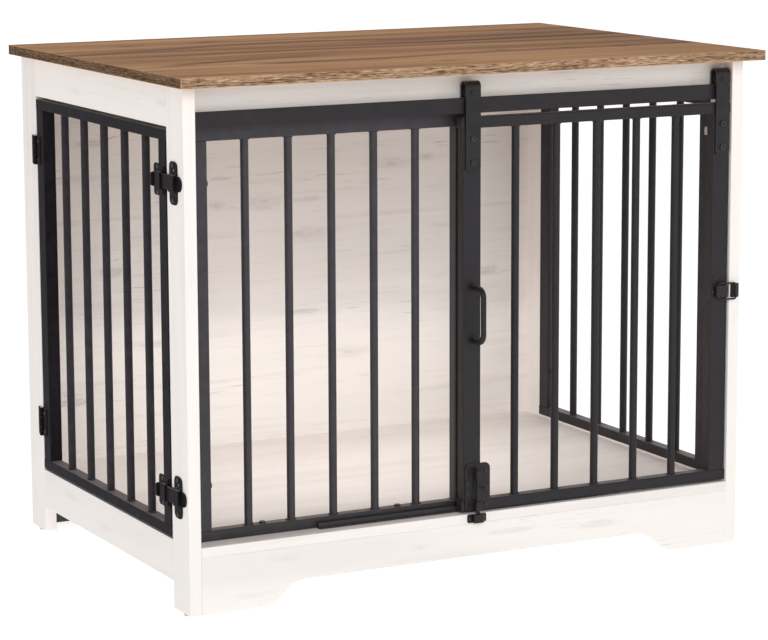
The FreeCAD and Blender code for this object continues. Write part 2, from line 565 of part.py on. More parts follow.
# ---------------------------------------------------------- side door hinges
for hz in HINGE_Z:
    z0, z1 = hz - HINGE_H / 2, hz + HINGE_H / 2
    a, b = hz - 7.6, hz + 7.6
    g = 0.2
    # post leaf: plate on the leg and the two outer knuckles
    leaf = box(-471.5, XL, HINGE_Y + 3.3, HINGE_Y + 17.0, z0, z1)
    leaf = soften(leaf, 2.0, V(1, 0, 0), lambda c: c.y > HINGE_Y + 10)
    for k0, k1 in ((z0, a - g), (b + g, z1)):
        leaf = leaf.fuse(box(-471.5, XL, HINGE_Y, HINGE_Y + 4.0, k0, k1))
        leaf = leaf.fuse(cyl(3.0, k1 - k0, (HINGE_X, HINGE_Y, k0), (0, 0, 1)))
    leaf = leaf.cut(cyl(1.5, HINGE_H + 2, (HINGE_X, HINGE_Y, z0 - 1), (0, 0, 1))).removeSplitter()
    add("side_hinge_post_leaves", one(leaf))
    # door leaf: plate on the stile and the middle knuckle
    leaf = box(-471.5, XL, HINGE_Y - 17.0, HINGE_Y - 3.3, z0, z1)
    leaf = soften(leaf, 2.0, V(1, 0, 0), lambda c: c.y < HINGE_Y - 10)
    leaf = leaf.fuse(box(-471.5, XL, HINGE_Y - 4.0, HINGE_Y, a + g, b - g))
    leaf = leaf.fuse(cyl(3.0, b - a - 2 * g, (HINGE_X, HINGE_Y, a + g), (0, 0, 1)))
    leaf = leaf.cut(cyl(1.55, HINGE_H + 2, (HINGE_X, HINGE_Y, z0 - 1), (0, 0, 1))).removeSplitter()
    add("side_hinge_door_leaves", one(leaf))
    pin = cyl(1.5, HINGE_H + 1.6, (HINGE_X, HINGE_Y, z0 - 0.8), (0, 0, 1))
    add("side_hinge_pins", pin)
    for dz in (-15.0, 15.0):
        add("post_hinge_screws", screw((-471.5, HINGE_Y + 10.5, hz + dz), (-1, 0, 0), 5.6, 1.1, 2.8, 12.0,
                                       ("side_hinge_post_leaves", "leg_back_left")))
        add("side_door_screws", screw((-471.5, HINGE_Y - 10.5, hz + dz), (-1, 0, 0), 5.6, 1.1, 2.8, 8.0,
                                      ("side_hinge_door_leaves", "side_door_frame")))

# ---------------------------------------------------------- side door latches
BOLT_T, BOLT_H = 3.0, 20.6


def staple(y0, y1, z, foot_end=20.0):
    """Bridge over the bolt; its feet lie on a 1.5 mm base plate."""
    x = XL - 1.5
    pts = [(x, foot_end), (x - 1.5, foot_end), (x - 1.5, 12.6), (x - 6.6, 12.6), (x - 6.6, -12.6),
           (x - 1.5, -12.6), (x - 1.5, -foot_end), (x, -foot_end), (x, -11.0), (x - 5.1, -11.0),
           (x - 5.1, 11.0), (x, 11.0)]
    s = prism([(a, y0, z + b) for a, b in pts], (0, y1 - y0, 0))
    return soften(s, 2.2, V(0, 1, 0), lambda c: c.x < x - 6.0)


for name, z in zip(("upper", "lower"), LATCH_Z):
    # door plate with its guide
    pl = box(XL - 1.5, XL, -243.0, -203.0, z - 23, z + 23)
    pl = soften(pl, 6.0, V(1, 0, 0))
    pl = one(pl.fuse(staple(-238.0, -223.0, z)).removeSplitter())
    add("side_latch_plates", pl)
    for dz in (-18.5, 18.5):
        add("side_door_screws", screw((XL - 1.5, -218.9, z + dz), (-1, 0, 0), 5.4, 1.5, 2.8, 8.0,
                                      ("side_latch_plates", "side_door_frame")))
    # flat bolt with a rounded nose and a bent-up grip
    y_nose, y_tail = -267.5, -208.0
    x0 = XL - 1.5 - 1.0
    bolt = box(x0 - BOLT_T, x0, y_nose, y_tail, z - BOLT_H / 2, z + BOLT_H / 2)
    bolt = soften(bolt, 7.0, V(1, 0, 0), lambda c: c.y < y_nose + 1)
    grip = box(x0 - 6.5, x0, y_tail - 3.0, y_tail, z - BOLT_H / 2, z + BOLT_H / 2)
    grip = soften(grip, 3.0, V(0, 1, 0), lambda c: c.x < x0 - 6)
    add("side_latch_bolt_" + name, one(bolt.fuse(grip).removeSplitter()))
    # keeper on the front left leg: round-ended base tab, vertical plate with a
    # spare hole, bridge
    base = box(XL - 1.5, XL, -290.0, -250.0, z - 11, z + 11)
    base = base.fuse(cyl(11.0, 1.5, (XL - 1.5, -290.0, z), (1, 0, 0)))
    lobes = soften(box(XL - 1.5, XL, -286.0, -259.0, z - 31.0, z + 31.0), 9.0, V(1, 0, 0))
    keep = base.fuse(lobes).fuse(staple(-286.0, -268.0, z, 14.6))
    keep = keep.cut(cyl(2.6, 5.0, (XL - 3.5, -272.5, z + 18.4), (1, 0, 0))).removeSplitter()
    add("side_latch_keepers", one(keep))
    for dz in (-25.0, 25.4):
        add("keeper_screws", screw((XL - 1.5, -272.5, z + dz), (-1, 0, 0), 5.6, 1.5, 2.8, 12.0,
                                   ("side_latch_keepers", "leg_front_left")))

# ------------------------------------------------------------ holes and export
for names, tool in drills:
    tb = tool.BoundBox
    for n in names:
        for i, s in enumerate(parts[n]):
            if s.BoundBox.intersect(tb):
                c = s.cut(tool)
                if c.Solids and abs(c.Volume - s.Volume) > 1e-6:
                    parts[n][i] = one(c)

os.makedirs("parts", exist_ok=True)
for node, solids in parts.items():
    shape = solids[0] if len(solids) == 1 else Part.makeCompound(solids)
    for s in solids:
        if not s.isValid() or len(s.Solids) != 1:
            print("check", node, s.isValid(), len(s.Solids))
    shape.exportStep("parts/%s.step" % node)
bb = Part.makeCompound([s for l in parts.values() for s in l]).BoundBox
print(len(parts), "nodes", sum(len(l) for l in parts.values()), "solids")
print("box", round(bb.XMin, 2), round(bb.XMax, 2), round(bb.YMin, 2), round(bb.YMax, 2),
      round(bb.ZMin, 2), round(bb.ZMax, 2))
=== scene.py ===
import bpy
import bmesh
import math
import random
from mathutils import Matrix, Vector, noise as mnoise


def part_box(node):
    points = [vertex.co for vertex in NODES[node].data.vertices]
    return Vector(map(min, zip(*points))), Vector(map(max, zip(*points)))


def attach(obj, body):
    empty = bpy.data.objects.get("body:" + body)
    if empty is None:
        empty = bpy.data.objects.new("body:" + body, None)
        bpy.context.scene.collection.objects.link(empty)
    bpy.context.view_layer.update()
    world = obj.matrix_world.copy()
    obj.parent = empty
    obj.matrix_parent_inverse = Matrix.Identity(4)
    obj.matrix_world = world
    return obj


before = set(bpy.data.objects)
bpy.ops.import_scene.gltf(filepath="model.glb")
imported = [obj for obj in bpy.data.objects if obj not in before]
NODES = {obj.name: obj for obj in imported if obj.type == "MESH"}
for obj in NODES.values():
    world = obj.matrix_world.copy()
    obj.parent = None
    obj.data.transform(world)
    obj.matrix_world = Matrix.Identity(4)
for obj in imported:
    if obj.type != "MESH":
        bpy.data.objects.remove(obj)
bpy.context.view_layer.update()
random.seed(7)


# ------------------------------------------------------------------ node helper
class Tree:
    """Short hand for building one procedural material."""

    def __init__(self, name):
        self.mat = bpy.data.materials.new(name)
        self.mat.use_nodes = True
        self.nt = self.mat.node_tree
        self.nt.nodes.clear()
        self.out = self.new("ShaderNodeOutputMaterial")
        self.bsdf = self.new("ShaderNodeBsdfPrincipled")
        self.link(self.bsdf.outputs[0], self.out.inputs["Surface"])
        tc = self.new("ShaderNodeTexCoord")
        self.obj = tc.outputs["Object"]
        self.nrm = tc.outputs["Normal"]

    def new(self, kind, **props):
        n = self.nt.nodes.new(kind)
        for k, v in props.items():
            setattr(n, k, v)
        return n

    def link(self, a, b):
        self.nt.links.new(a, b)

    def put(self, sock, val):
        if isinstance(val, bpy.types.NodeSocket):
            self.link(val, sock)
        elif val is not None:
            sock.default_value = val

    def math(self, op, a, b=None, c=None, clamp=False):
        n = self.new("ShaderNodeMath", operation=op, use_clamp=clamp)
        for s, v in zip(n.inputs, (a, b, c)):
            self.put(s, v)
        return n.outputs[0]

    def add(self, a, b):
        return self.math("ADD", a, b)

    def sub(self, a, b):
        return self.math("SUBTRACT", a, b)

    def mul(self, a, b, clamp=False):
        return self.math("MULTIPLY", a, b, clamp=clamp)

    def sep(self, v):
        n = self.new("ShaderNodeSeparateXYZ")
        self.put(n.inputs[0], v)
        return n.outputs[0], n.outputs[1], n.outputs[2]

    def vec(self, x=0.0, y=0.0, z=0.0):
        n = self.new("ShaderNodeCombineXYZ")
        for s, v in zip(n.inputs, (x, y, z)):
            self.put(s, v)
        return n.outputs[0]

    def noise(self, v, scale=1.0, detail=3.0, rough=0.5, dist=0.0, lac=2.0):
        n = self.new("ShaderNodeTexNoise")
        self.put(n.inputs["Vector"], v)
        n.inputs["Scale"].default_value = scale
        n.inputs["Detail"].default_value = detail
        n.inputs["Roughness"].default_value = rough
        n.inputs["Lacunarity"].default_value = lac
        n.inputs["Distortion"].default_value = dist
        return n.outputs["Fac"]

    def step(self, v, a, b, lo=0.0, hi=1.0):
        """Smooth step of v from a to b, mapped to lo..hi."""
        n = self.new("ShaderNodeMapRange", interpolation_type="SMOOTHSTEP")
        self.put(n.inputs["Value"], v)
        n.inputs["From Min"].default_value = a
        n.inputs["From Max"].default_value = b
        n.inputs["To Min"].default_value = lo
        n.inputs["To Max"].default_value = hi
        return n.outputs[0]

    def lerp(self, v, a, b, lo, hi):
        n = self.new("ShaderNodeMapRange", interpolation_type="LINEAR")
        self.put(n.inputs["Value"], v)
        n.inputs["From Min"].default_value = a
        n.inputs["From Max"].default_value = b
        n.inputs["To Min"].default_value = lo
        n.inputs["To Max"].default_value = hi
        return n.outputs[0]

    def ramp(self, v, stops, interp="LINEAR"):
        n = self.new("ShaderNodeValToRGB")
        n.color_ramp.interpolation = interp
        self.put(n.inputs[0], v)
        e = n.color_ramp.elements
        while len(e) > 1:
            e.remove(e[0])
        e[0].position, e[0].color = stops[0][0], (*stops[0][1], 1)
        for p, c in stops[1:]:
            x = e.new(p)
            x.color = (*c, 1)
        return n.outputs[0]

    def mix(self, fac, a, b, mode="MIX"):
        n = self.new("ShaderNodeMix", data_type="RGBA", blend_type=mode)
        self.put(n.inputs[0], fac)
        for s, v in ((n.inputs[6], a), (n.inputs[7], b)):
            self.put(s, (*v, 1) if isinstance(v, tuple) and len(v) == 3 else v)
        return n.outputs[2]

    def bump(self, height, strength, distance, normal=None):
        n = self.new("ShaderNodeBump")
        n.inputs["Strength"].default_value = strength
        n.inputs["Distance"].default_value = distance
        self.put(n.inputs["Height"], height)
        if normal is not None:
            self.link(normal, n.inputs["Normal"])
        return n.outputs[0]

    def set(self, **vals):
        for k, v in vals.items():
            s = self.bsdf.inputs[k.replace("_", " ")]
            self.put(s, (*v, 1) if isinstance(v, tuple) and len(v) == 3 and s.type == "RGBA" else v)


def srgb(r, g, b):
    """Linear colour of an sRGB triple 0..255."""
    f = lambda c: c / 12.92 if c <= 0.04045 else ((c + 0.055) / 1.055) ** 2.4
    return tuple(f(x / 255.0) for x in (r, g, b))


# ------------------------------------------------------------ brown slab veneer
def slab_material():
    t = Tree("slab_oak_decor")
    x, y, z = t.sep(t.obj)
    nx, ny, nz = t.sep(t.nrm)

    # --- top and bottom faces: long streaks along X
    wander = t.noise(t.vec(t.mul(x, 1.1), t.mul(y, 3.2), 3.0), 1.0, 3.0, 0.5)
    yw = t.add(y, t.mul(t.sub(wander, 0.5), 0.075))
    ripple = t.noise(t.vec(t.mul(x, 5.0), t.mul(y, 22.0), 9.0), 1.0, 2.0, 0.5)
    yw = t.add(yw, t.mul(t.sub(ripple, 0.5), 0.006))

    broad = t.noise(t.vec(t.mul(x, 0.55), t.mul(yw, 8.5), 1.7), 1.0, 2.0, 0.55)
    mid = t.noise(t.vec(t.mul(x, 1.3), t.mul(yw, 34.0), 5.0), 1.0, 4.0, 0.62)
    fine = t.noise(t.vec(t.mul(x, 5.5), t.mul(yw, 210.0), 2.0), 1.0, 4.0, 0.6)
    tone = t.add(t.mul(broad, 0.46), t.add(t.mul(mid, 0.42), t.mul(fine, 0.12)))
    body = t.ramp(tone, [
        (0.37, srgb(100, 63, 38)), (0.43, srgb(134, 90, 56)), (0.48, srgb(165, 116, 74)),
        (0.53, srgb(184, 134, 89)), (0.58, srgb(199, 151, 102)), (0.64, srgb(211, 167, 114))])
    # dark heart streaks
    heart = t.noise(t.vec(t.mul(x, 0.9), t.mul(yw, 15.0), 12.5), 1.0, 3.0, 0.5)
    heart = t.step(heart, 0.60, 0.72)
    heart = t.mul(heart, t.lerp(mid, 0.3, 0.7, 0.35, 1.0))
    body = t.mix(t.mul(heart, 0.45), body, srgb(92, 60, 42))
    # long dark and yellow bands that run the length of the board
    ys = t.add(t.add(y, t.mul(t.sub(ripple, 0.5), 0.010)), t.mul(t.sub(wander, 0.5), 0.018))

    def band(points, half, x0, x1):
        mid_line = t.sub(t.ramp(t.add(x, 0.5), [(px + 0.5, (py + 0.5,) * 3) for px, py in points], "B_SPLINE"), 0.5)
        d = t.mul(t.math("ABSOLUTE", t.sub(ys, mid_line)), 1.0 / half)
        m = t.mul(t.step(d, 1.0, 0.25), t.lerp(mid, 0.34, 0.66, 0.25, 1.0))
        return t.mul(m, t.mul(t.step(x, x0, x0 + 0.08), t.step(x, x1, x1 - 0.08)))

    dark = None
    for pts, half, x0, x1 in (
            (((-0.47, 0.085), (-0.30, 0.130), (-0.21, 0.160), (-0.07, 0.180), (0.02, 0.160), (0.11, 0.125),
              (0.22, 0.143), (0.47, 0.143)), 0.026, -0.60, 0.49),
            (((-0.49, -0.170), (-0.42, -0.148), (-0.34, -0.124), (-0.27, -0.102), (-0.10, -0.075)), 0.024, -0.47, -0.10),
            (((-0.40, -0.178), (-0.10, -0.184), (0.02, -0.160), (0.20, -0.152), (0.35, -0.156), (0.49, -0.146)),
             0.024, -0.33, 0.60),
            (((-0.49, 0.005), (-0.30, 0.018), (-0.10, 0.024)), 0.010, -0.44, -0.18),
            (((0.05, 0.020), (0.20, 0.010), (0.40, -0.005)), 0.012, 0.06, 0.44)):
        m = band(pts, half, x0, x1)
        dark = m if dark is None else t.math("MAXIMUM", dark, m)
    body = t.mix(t.mul(dark, 0.90), body, srgb(102, 65, 40))
    # yellower sapwood bands
    sap = t.noise(t.vec(t.mul(x, 0.6), t.mul(yw, 11.0), 21.0), 1.0, 2.0, 0.5)
    sap = t.step(sap, 0.58, 0.74)
    for pts, half, x0, x1 in ((((-0.30, 0.262), (-0.20, 0.270), (-0.05, 0.288)), 0.018, -0.34, -0.02),
                              (((-0.36, -0.030), (-0.28, -0.020), (-0.10, 0.015)), 0.014, -0.38, -0.06),
                              (((0.00, 0.250), (0.15, 0.257), (0.35, 0.264)), 0.020, -0.02, 0.40)):
        sap = t.math("MAXIMUM", sap, band(pts, half, x0, x1))
    body = t.mix(t.mul(sap, 0.40), body, srgb(198, 156, 94))
    # the right part of the board is a shade browner
    body = t.mix(t.step(x, 0.02, 0.46), body, (0.84, 0.82, 0.79), "MULTIPLY")
    # annual lines
    ring_w = t.noise(t.vec(t.mul(x, 1.6), t.mul(yw, 9.0), 30.0), 1.0, 3.0, 0.5)
    ring = t.math("SINE", t.mul(t.add(yw, t.mul(ring_w, 0.09)), 900.0))
    ring = t.step(ring, 0.35, 1.0)
    body = t.mix(t.mul(ring, t.lerp(broad, 0.3, 0.7, 0.05, 0.26)), body, srgb(96, 66, 47))
    # short open pores
    pore = t.noise(t.vec(t.mul(x, 38.0), t.mul(yw, 1500.0), 4.0), 1.0, 2.0, 0.6)
    pore = t.mul(t.step(pore, 0.60, 0.70), t.step(mid, 0.42, 0.62, 0.25, 1.0))
    body = t.mix(t.mul(pore, 0.45), body, srgb(74, 48, 34))
    # small knots
    dmin = None
    for kx, ky, a, b in ((0.245, -0.150, 0.018, 0.007), (0.346, -0.156, 0.014, 0.007), (0.455, -0.144, 0.018, 0.006),
                         (-0.335, 0.215, 0.016, 0.006), (-0.19, 0.235, 0.026, 0.006), (-0.345, -0.124, 0.036, 0.007),
                         (0.14, -0.128, 0.014, 0.005), (-0.02, -0.262, 0.018, 0.004), (0.40, 0.215, 0.024, 0.006)):
        d = t.new("ShaderNodeVectorMath", operation="LENGTH")
        t.link(t.vec(t.mul(t.sub(x, kx), 1 / a), t.mul(t.sub(yw, ky), 1 / b), 0.0), d.inputs[0])
        v = d.outputs["Value"]
        dmin = v if dmin is None else t.math("MINIMUM", dmin, v)
    dn = t.add(dmin, t.mul(t.sub(fine, 0.5), 0.9))
    body = t.mix(t.mul(t.step(dn, 2.6, 0.7), 0.42), body, srgb(104, 70, 50))
    body = t.mix(t.mul(t.step(dn, 1.0, 0.35), 0.75), body, srgb(58, 38, 30))

    # --- edge band: rough-sawn dashes; u runs along either edge
    u = t.add(x, y)
    ew = t.noise(t.vec(t.mul(u, 21.0), t.mul(z, 45.0), 2.0), 1.0, 2.0, 0.5)
    zw = t.add(z, t.mul(t.sub(ew, 0.5), 0.0060))
    e1 = t.noise(t.vec(t.mul(u, 58.0), t.mul(zw, 620.0), 6.0), 1.0, 3.0, 0.62)
    e2 = t.noise(t.vec(t.mul(u, 7.0), t.mul(zw, 120.0), 16.0), 1.0, 2.0, 0.5)
    edge = t.ramp(t.add(t.mul(e1, 0.72), t.mul(e2, 0.28)), [
        (0.37, srgb(78, 57, 42)), (0.44, srgb(118, 90, 68)), (0.50, srgb(152, 122, 96)),
        (0.56, srgb(176, 146, 117)), (0.64, srgb(204, 176, 144))])
    is_edge = t.step(t.math("ABSOLUTE", nz), 0.55, 0.25)
    # painted shade: the short sides of the board (faces pointing along X) are multiplied darker
    edge = t.mix(t.step(t.math("ABSOLUTE", nx), 0.5, 0.8), edge, (0.41, 0.38, 0.31), "MULTIPLY")
    col = t.mix(is_edge, body, edge)
    # light arris on every edge of the board, partly wear and partly painted highlight; the back arris is dark as
    # painted shade
    arr = t.mul(t.step(t.math("ABSOLUTE", nz), 0.12, 0.45), t.step(t.math("ABSOLUTE", nz), 0.985, 0.80))
    cor = t.step(t.math("ABSOLUTE", t.mul(nx, ny)), 0.10, 0.34)
    arris = t.math("MAXIMUM", arr, cor)
    arris_highlight_shade = t.mix(t.step(y, 0.333, 0.340), srgb(206, 170, 132), srgb(92, 74, 62))
    col = t.mix(t.mul(arris, t.lerp(e1, 0.3, 0.7, 0.25, 0.8)), col, arris_highlight_shade)

    rough = t.lerp(fine, 0.3, 0.7, 0.60, 0.74)
    t.set(Base_Color=col, Roughness=rough, Specular_IOR_Level=0.07)
    h = t.add(t.mul(fine, 0.5), t.mul(pore, -0.7))
    h = t.add(t.mul(h, t.sub(1.0, is_edge)), t.mul(t.mul(e1, 1.6), is_edge))
    t.set(Normal=t.bump(h, 0.35, 0.0006))
    return t.mat


# ------------------------------------------------------------ white-washed wood
def white_wood(name, axis, seed, knots=(), contrast=1.0, cool=0.0):
    """Pale washed decor. axis is the grain direction; knots are (along, across, half length, half width) in metres;
    cool shifts the wash from cream to a cooler grey white."""
    t = Tree(name)
    x, y, z = t.sep(t.obj)
    g, a, b = {"x": (x, y, z), "y": (y, x, z), "z": (z, x, y)}[axis]
    c = t.add(a, b)
    wob = t.noise(t.vec(t.mul(g, 2.4), t.mul(c, 7.0), seed), 1.0, 2.0, 0.5)
    cw = t.add(c, t.mul(t.sub(wob, 0.5), 0.016))
    dmin = None
    for kg, kc, ka, kb in knots:
        d = t.new("ShaderNodeVectorMath", operation="LENGTH")
        t.link(t.vec(t.mul(t.sub(g, kg), 1 / ka), t.mul(t.sub(c, kc), 1 / kb), 0.0), d.inputs[0])
        v = d.outputs["Value"]
        dmin = v if dmin is None else t.math("MINIMUM", dmin, v)
    if dmin is not None:
        # the grain flows round the knots
        push = t.math("POWER", 2.718, t.mul(t.mul(dmin, dmin), -0.35))
        cw = t.add(cw, t.mul(push, 0.010))
    wide = t.noise(t.vec(t.mul(g, 0.9), t.mul(cw, 9.0), seed + 3.0), 1.0, 2.0, 0.5)
    mid = t.noise(t.vec(t.mul(g, 2.2), t.mul(cw, 55.0), seed + 5.0), 1.0, 4.0, 0.6)
    fine = t.noise(t.vec(t.mul(g, 9.0), t.mul(cw, 420.0), seed + 8.0), 1.0, 4.0, 0.6)
    dash = t.noise(t.vec(t.mul(g, 16.0), t.mul(cw, 330.0), seed + 11.0), 1.0, 2.0, 0.55)
    where = t.noise(t.vec(t.mul(g, 3.4), t.mul(cw, 26.0), seed + 14.0), 1.0, 2.0, 0.5)

    def w(r_, g_, b_):
        return srgb(r_ - 4 * cool, g_ + 1 * cool, b_ + 3 * cool)

    base = t.ramp(wide, [(0.36, w(236, 231, 228)), (0.47, w(243, 238, 235)), (0.56, w(245, 240, 236)),
                         (0.66, w(242, 238, 234))])
    col = t.mix(t.mul(t.step(mid, 0.52, 0.72), 0.30 * contrast), base, srgb(222, 214, 206))
    col = t.mix(t.mul(t.step(fine, 0.52, 0.74), 0.22 * contrast), col, srgb(214, 207, 199))
    col = t.mix(t.mul(t.mul(t.step(dash, 0.60, 0.72), t.step(where, 0.52, 0.66)), 0.45 * contrast), col,
                srgb(178, 171, 164))
    if dmin is not None:
        dn = t.add(dmin, t.add(t.mul(t.sub(fine, 0.5), 1.5), t.mul(t.sub(mid, 0.5), 1.3)))
        halo = t.mul(t.step(dn, 2.4, 0.8), t.step(dash, 0.38, 0.62, 0.25, 1.0))
        col = t.mix(t.mul(halo, 0.18 * contrast), col, srgb(196, 191, 185))
        # each knot is a thin dark ring with a paler heart
        ring = t.mul(t.step(t.math("ABSOLUTE", t.sub(dn, 0.85)), 0.42, 0.10), t.step(where, 0.40, 0.60, 0.15, 1.0))
        col = t.mix(t.mul(ring, 0.17 * contrast), col, srgb(150, 145, 140))
        col = t.mix(t.mul(t.step(dn, 0.60, 0.15), 0.20 * contrast), col, srgb(166, 160, 154))
    rough = t.lerp(mid, 0.3, 0.7, 0.50, 0.64)
    t.set(Base_Color=col, Roughness=rough, Specular_IOR_Level=0.32)
    h = t.add(t.mul(fine, 0.6), t.mul(mid, 0.4))
    t.set(Normal=t.bump(h, 0.22, 0.0004))
    return t.mat


def dark_board(name):
    """Dark board with a faint grain along X."""
    t = Tree(name)
    x, y, z = t.sep(t.obj)
    g1 = t.noise(t.vec(t.mul(x, 3.0), t.mul(y, 60.0), t.mul(z, 60.0)), 1.0, 4.0, 0.6)
    g2 = t.noise(t.vec(t.mul(x, 14.0), t.mul(y, 600.0), t.mul(z, 600.0)), 1.0, 3.0, 0.6)
    col = t.ramp(t.add(t.mul(g1, 0.6), t.mul(g2, 0.4)), [
        (0.38, srgb(52, 47, 43)), (0.50, srgb(66, 61, 56)), (0.62, srgb(80, 74, 68))])
    t.set(Base_Color=col, Roughness=t.lerp(g1, 0.3, 0.7, 0.60, 0.75), Specular_IOR_Level=0.25)
    t.set(Normal=t.bump(g2, 0.25, 0.0004))
    return t.mat


def plain_wood(name):
    t = Tree(name)
    x, y, z = t.sep(t.obj)
    g = t.noise(t.vec(t.mul(x, 260.0), t.mul(y, 22.0), t.mul(z, 260.0)), 1.0, 4.0, 0.6)
    col = t.ramp(g, [(0.35, srgb(186, 146, 98)), (0.5, srgb(206, 168, 118)), (0.65, srgb(220, 186, 138))])
    t.set(Base_Color=col, Roughness=t.lerp(g, 0.3, 0.7, 0.55, 0.75))
    t.set(Normal=t.bump(g, 0.3, 0.0003))
    return t.mat


# ---------------------------------------------------------------------- metals
def powder_coat(name, tone=1.0, rough=(0.40, 0.52), spec=0.5, top_sheen_dust=0.5):
    """Charcoal satin powder coat: fine orange peel, faint mottling, rubbed patches, and upward faces painted lighter
    as a painted highlight of light from above, partly dusty.
    """
    t = Tree(name)
    peel = t.noise(t.obj, 1500.0, 2.0, 0.5)
    mott = t.noise(t.obj, 55.0, 3.0, 0.55)
    rub = t.noise(t.obj, 16.0, 4.0, 0.65)
    col = t.ramp(mott, [(0.35, tuple(c * tone for c in srgb(35, 31, 36))),
                        (0.52, tuple(c * tone for c in srgb(40, 36, 41))),
                        (0.68, tuple(c * tone for c in srgb(46, 42, 47)))])
    # painted highlight, partly dusty: faces that point up are mixed towards light grey
    up_face_sheen = t.mul(t.step(t.sep(t.nrm)[2], 0.65, 0.97), t.lerp(rub, 0.3, 0.7, 0.7 * top_sheen_dust, top_sheen_dust))
    col = t.mix(up_face_sheen, col, srgb(128, 124, 124))
    speck = t.noise(t.obj, 700.0, 1.0, 0.5)
    col = t.mix(t.mul(t.step(speck, 0.70, 0.78), 0.25), col, srgb(74, 71, 75))
    r = t.add(t.lerp(mott, 0.35, 0.65, rough[0], rough[1]), t.mul(t.step(rub, 0.58, 0.74), -0.06))
    t.set(Base_Color=col, Roughness=r, Specular_IOR_Level=spec)
    t.set(Normal=t.bump(t.add(t.mul(peel, 0.8), t.mul(mott, 0.25)), 0.16, 0.0003))
    return t.mat


def zinc(name):
    t = Tree(name)
    spang = t.new("ShaderNodeTexVoronoi")
    t.put(spang.inputs["Vector"], t.obj)
    spang.inputs["Scale"].default_value = 380.0
    fine = t.noise(t.obj, 900.0, 3.0, 0.6)
    col = t.ramp(spang.outputs["Distance"], [(0.1, srgb(168, 168, 166)), (0.7, srgb(196, 196, 192))])
    t.set(Base_Color=col, Metallic=1.0, Roughness=t.lerp(fine, 0.3, 0.7, 0.26, 0.42))
    t.set(Normal=t.bump(fine, 0.15, 0.0002))
    return t.mat


def nylon(name, lo, hi, rough=(0.42, 0.55)):
    t = Tree(name)
    n1 = t.noise(t.obj, 120.0, 3.0, 0.5)
    n2 = t.noise(t.obj, 1300.0, 2.0, 0.5)
    col = t.ramp(n1, [(0.35, lo), (0.65, hi)])
    t.set(Base_Color=col, Roughness=t.lerp(n1, 0.3, 0.7, rough[0], rough[1]), Specular_IOR_Level=0.45)
    t.set(Normal=t.bump(n2, 0.12, 0.0002))
    return t.mat


# knots of the back panel and the other boards: along, across (sum of the other two), half sizes
YB_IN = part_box("back_panel")[0].y
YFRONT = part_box("front_apron")[0].y
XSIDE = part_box("left_top_rail")[0].x


def panel_knots(rows, const):
    return [(gx, cz + const, a, b) for gx, cz, a, b in rows]


MATS = {
    "top_slab": slab_material(),
    "leg_front_left": white_wood("wash_leg_fl", "z", 1.3, contrast=0.45),
    "leg_front_right": white_wood("wash_leg_fr", "z", 17.1, contrast=0.55),
    "leg_back_left": white_wood("wash_leg_bl", "z", 29.9, contrast=0.7),
    "leg_back_right": white_wood("wash_leg_br", "z", 41.4, contrast=0.7),
    "left_top_rail": white_wood("wash_rail_lt", "y", 52.2, panel_knots(
        ((-0.235, 0.740, 0.016, 0.004), (0.10, 0.728, 0.018, 0.003)), XSIDE), contrast=0.6),
    "right_top_rail": white_wood("wash_rail_rt", "y", 63.8, contrast=0.8),
    "left_bottom_rail": white_wood("wash_rail_lb", "y", 77.5, panel_knots(
        ((0.020, 0.066, 0.016, 0.005), (0.155, 0.086, 0.018, 0.004)), XSIDE), contrast=0.6),
    "right_bottom_rail": white_wood("wash_rail_rb", "y", 84.9, contrast=0.8),
    "front_top_board": white_wood("wash_top_board", "x", 93.7, contrast=1.2, cool=0.8),
    "front_apron": white_wood("wash_apron", "x", 105.1, panel_knots(
        ((-0.318, 0.073, 0.016, 0.004), (-0.372, 0.024, 0.020, 0.003), (-0.095, 0.062, 0.010, 0.003),
         (0.215, 0.062, 0.024, 0.004), (0.06, 0.070, 0.030, 0.003)), YFRONT),
        contrast=0.7),
    "base_floor_panel": white_wood("wash_floor", "x", 118.6, contrast=0.9),
    "back_panel": white_wood("wash_back", "x", 131.2, panel_knots(
        ((-0.141, 0.506, 0.012, 0.005), (-0.054, 0.508, 0.026, 0.009), (0.030, 0.448, 0.034, 0.010),
         (0.184, 0.558, 0.026, 0.007), (0.250, 0.565, 0.010, 0.004), (0.287, 0.447, 0.018, 0.003),
         (0.023, 0.507, 0.020, 0.003), (0.015, 0.317, 0.026, 0.003), (-0.134, 0.550, 0.012, 0.002),
         (-0.33, 0.41, 0.020, 0.006), (-0.25, 0.285, 0.030, 0.005), (0.10, 0.24, 0.03, 0.006), (0.37, 0.36, 0.018, 0.006),
         (-0.36, 0.62, 0.024, 0.005), (-0.40, 0.20, 0.02, 0.005), (0.38, 0.66, 0.02, 0.005)), YB_IN),
        contrast=1.25),
    "back_skirt": dark_board("dark_skirt_board"),
    "floor_support_rail": white_wood("wash_support", "x", 151.9, contrast=0.8),
    "rail_dowels": plain_wood("beech_dowel"),
}
COAT = powder_coat("charcoal_powder_coat", 1.30)
COAT_DARK = powder_coat("charcoal_door_coat", 0.60, (0.44, 0.56), 0.36)
